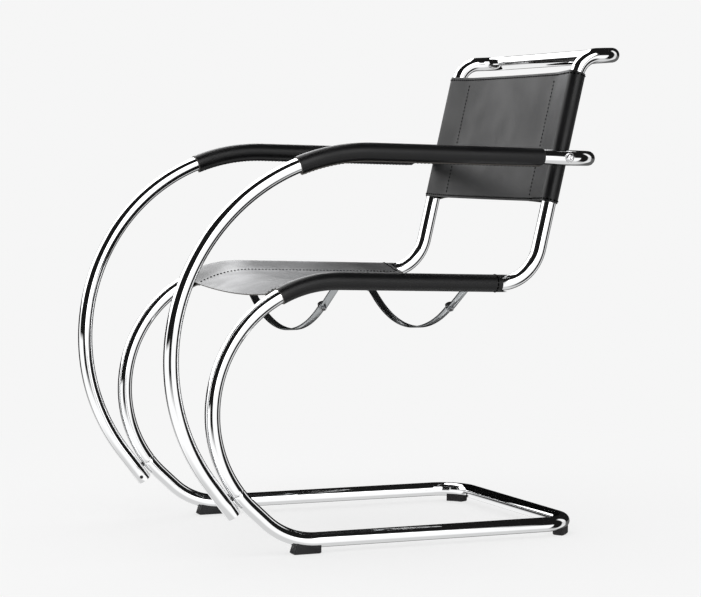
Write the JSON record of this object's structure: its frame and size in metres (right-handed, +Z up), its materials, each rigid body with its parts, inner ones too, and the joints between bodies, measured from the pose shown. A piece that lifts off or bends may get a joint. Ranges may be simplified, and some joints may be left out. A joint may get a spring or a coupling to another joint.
{
  "type": "cantilever lounge chair",
  "caption": "Cantilever lounge chair: bent chromed tube frame, looped tube arms, black saddle leather slings on seat and back, sleeved arms, bolted straps under the seat.",
  "frame": {"origin": "on the floor, under the middle of the chair's footprint box", "axes": "+Z up, -Y the way the sitter faces, +X to the sitter's left"},
  "size_m": [0.5418, 0.8333, 0.8331],
  "materials": {
    "chrome_tube": "mirror polished",
    "chrome_bar": "polished, rolled edges",
    "chrome_screw": "polished",
    "plated_steel": "zinc plated",
    "blackened_steel": "black oxide, satin",
    "black_plastic": "fine grained",
    "seat_leather": "smooth black saddle leather, soft sheen",
    "back_leather": "smooth black saddle leather, soft sheen",
    "arm_leather": "smooth black saddle leather, soft sheen"
  },
  "bodies": {
    "root": {"lower_frame": "chrome_tube", "upper_frame": "chrome_tube", "arm_loop": "chrome_tube", "joint_spigot_left": "plated_steel", "joint_spigot_right": "plated_steel", "joint_studs": "blackened_steel", "arm_plug_left": "plated_steel", "arm_plug_right": "plated_steel", "arm_set_screws": "blackened_steel", "arm_screws": "chrome_screw", "arm_washers": "chrome_screw", "arm_bushes": "black_plastic", "upright_inserts": "plated_steel", "seat_leather": "seat_leather", "back_leather": "back_leather", "arm_sleeve_left": "arm_leather", "arm_sleeve_right": "arm_leather", "front_brace_strap": "chrome_bar", "rear_brace_strap": "chrome_bar", "brace_tab_front_left": "chrome_bar", "brace_tab_front_right": "chrome_bar", "brace_tab_rear_left": "chrome_bar", "brace_tab_rear_right": "chrome_bar", "brace_bolts": "blackened_steel", "brace_nuts": "plated_steel", "front_foot_left": "black_plastic", "front_foot_right": "black_plastic", "rear_foot_left": "black_plastic", "rear_foot_right": "black_plastic"}
  },
  "joints": []
}
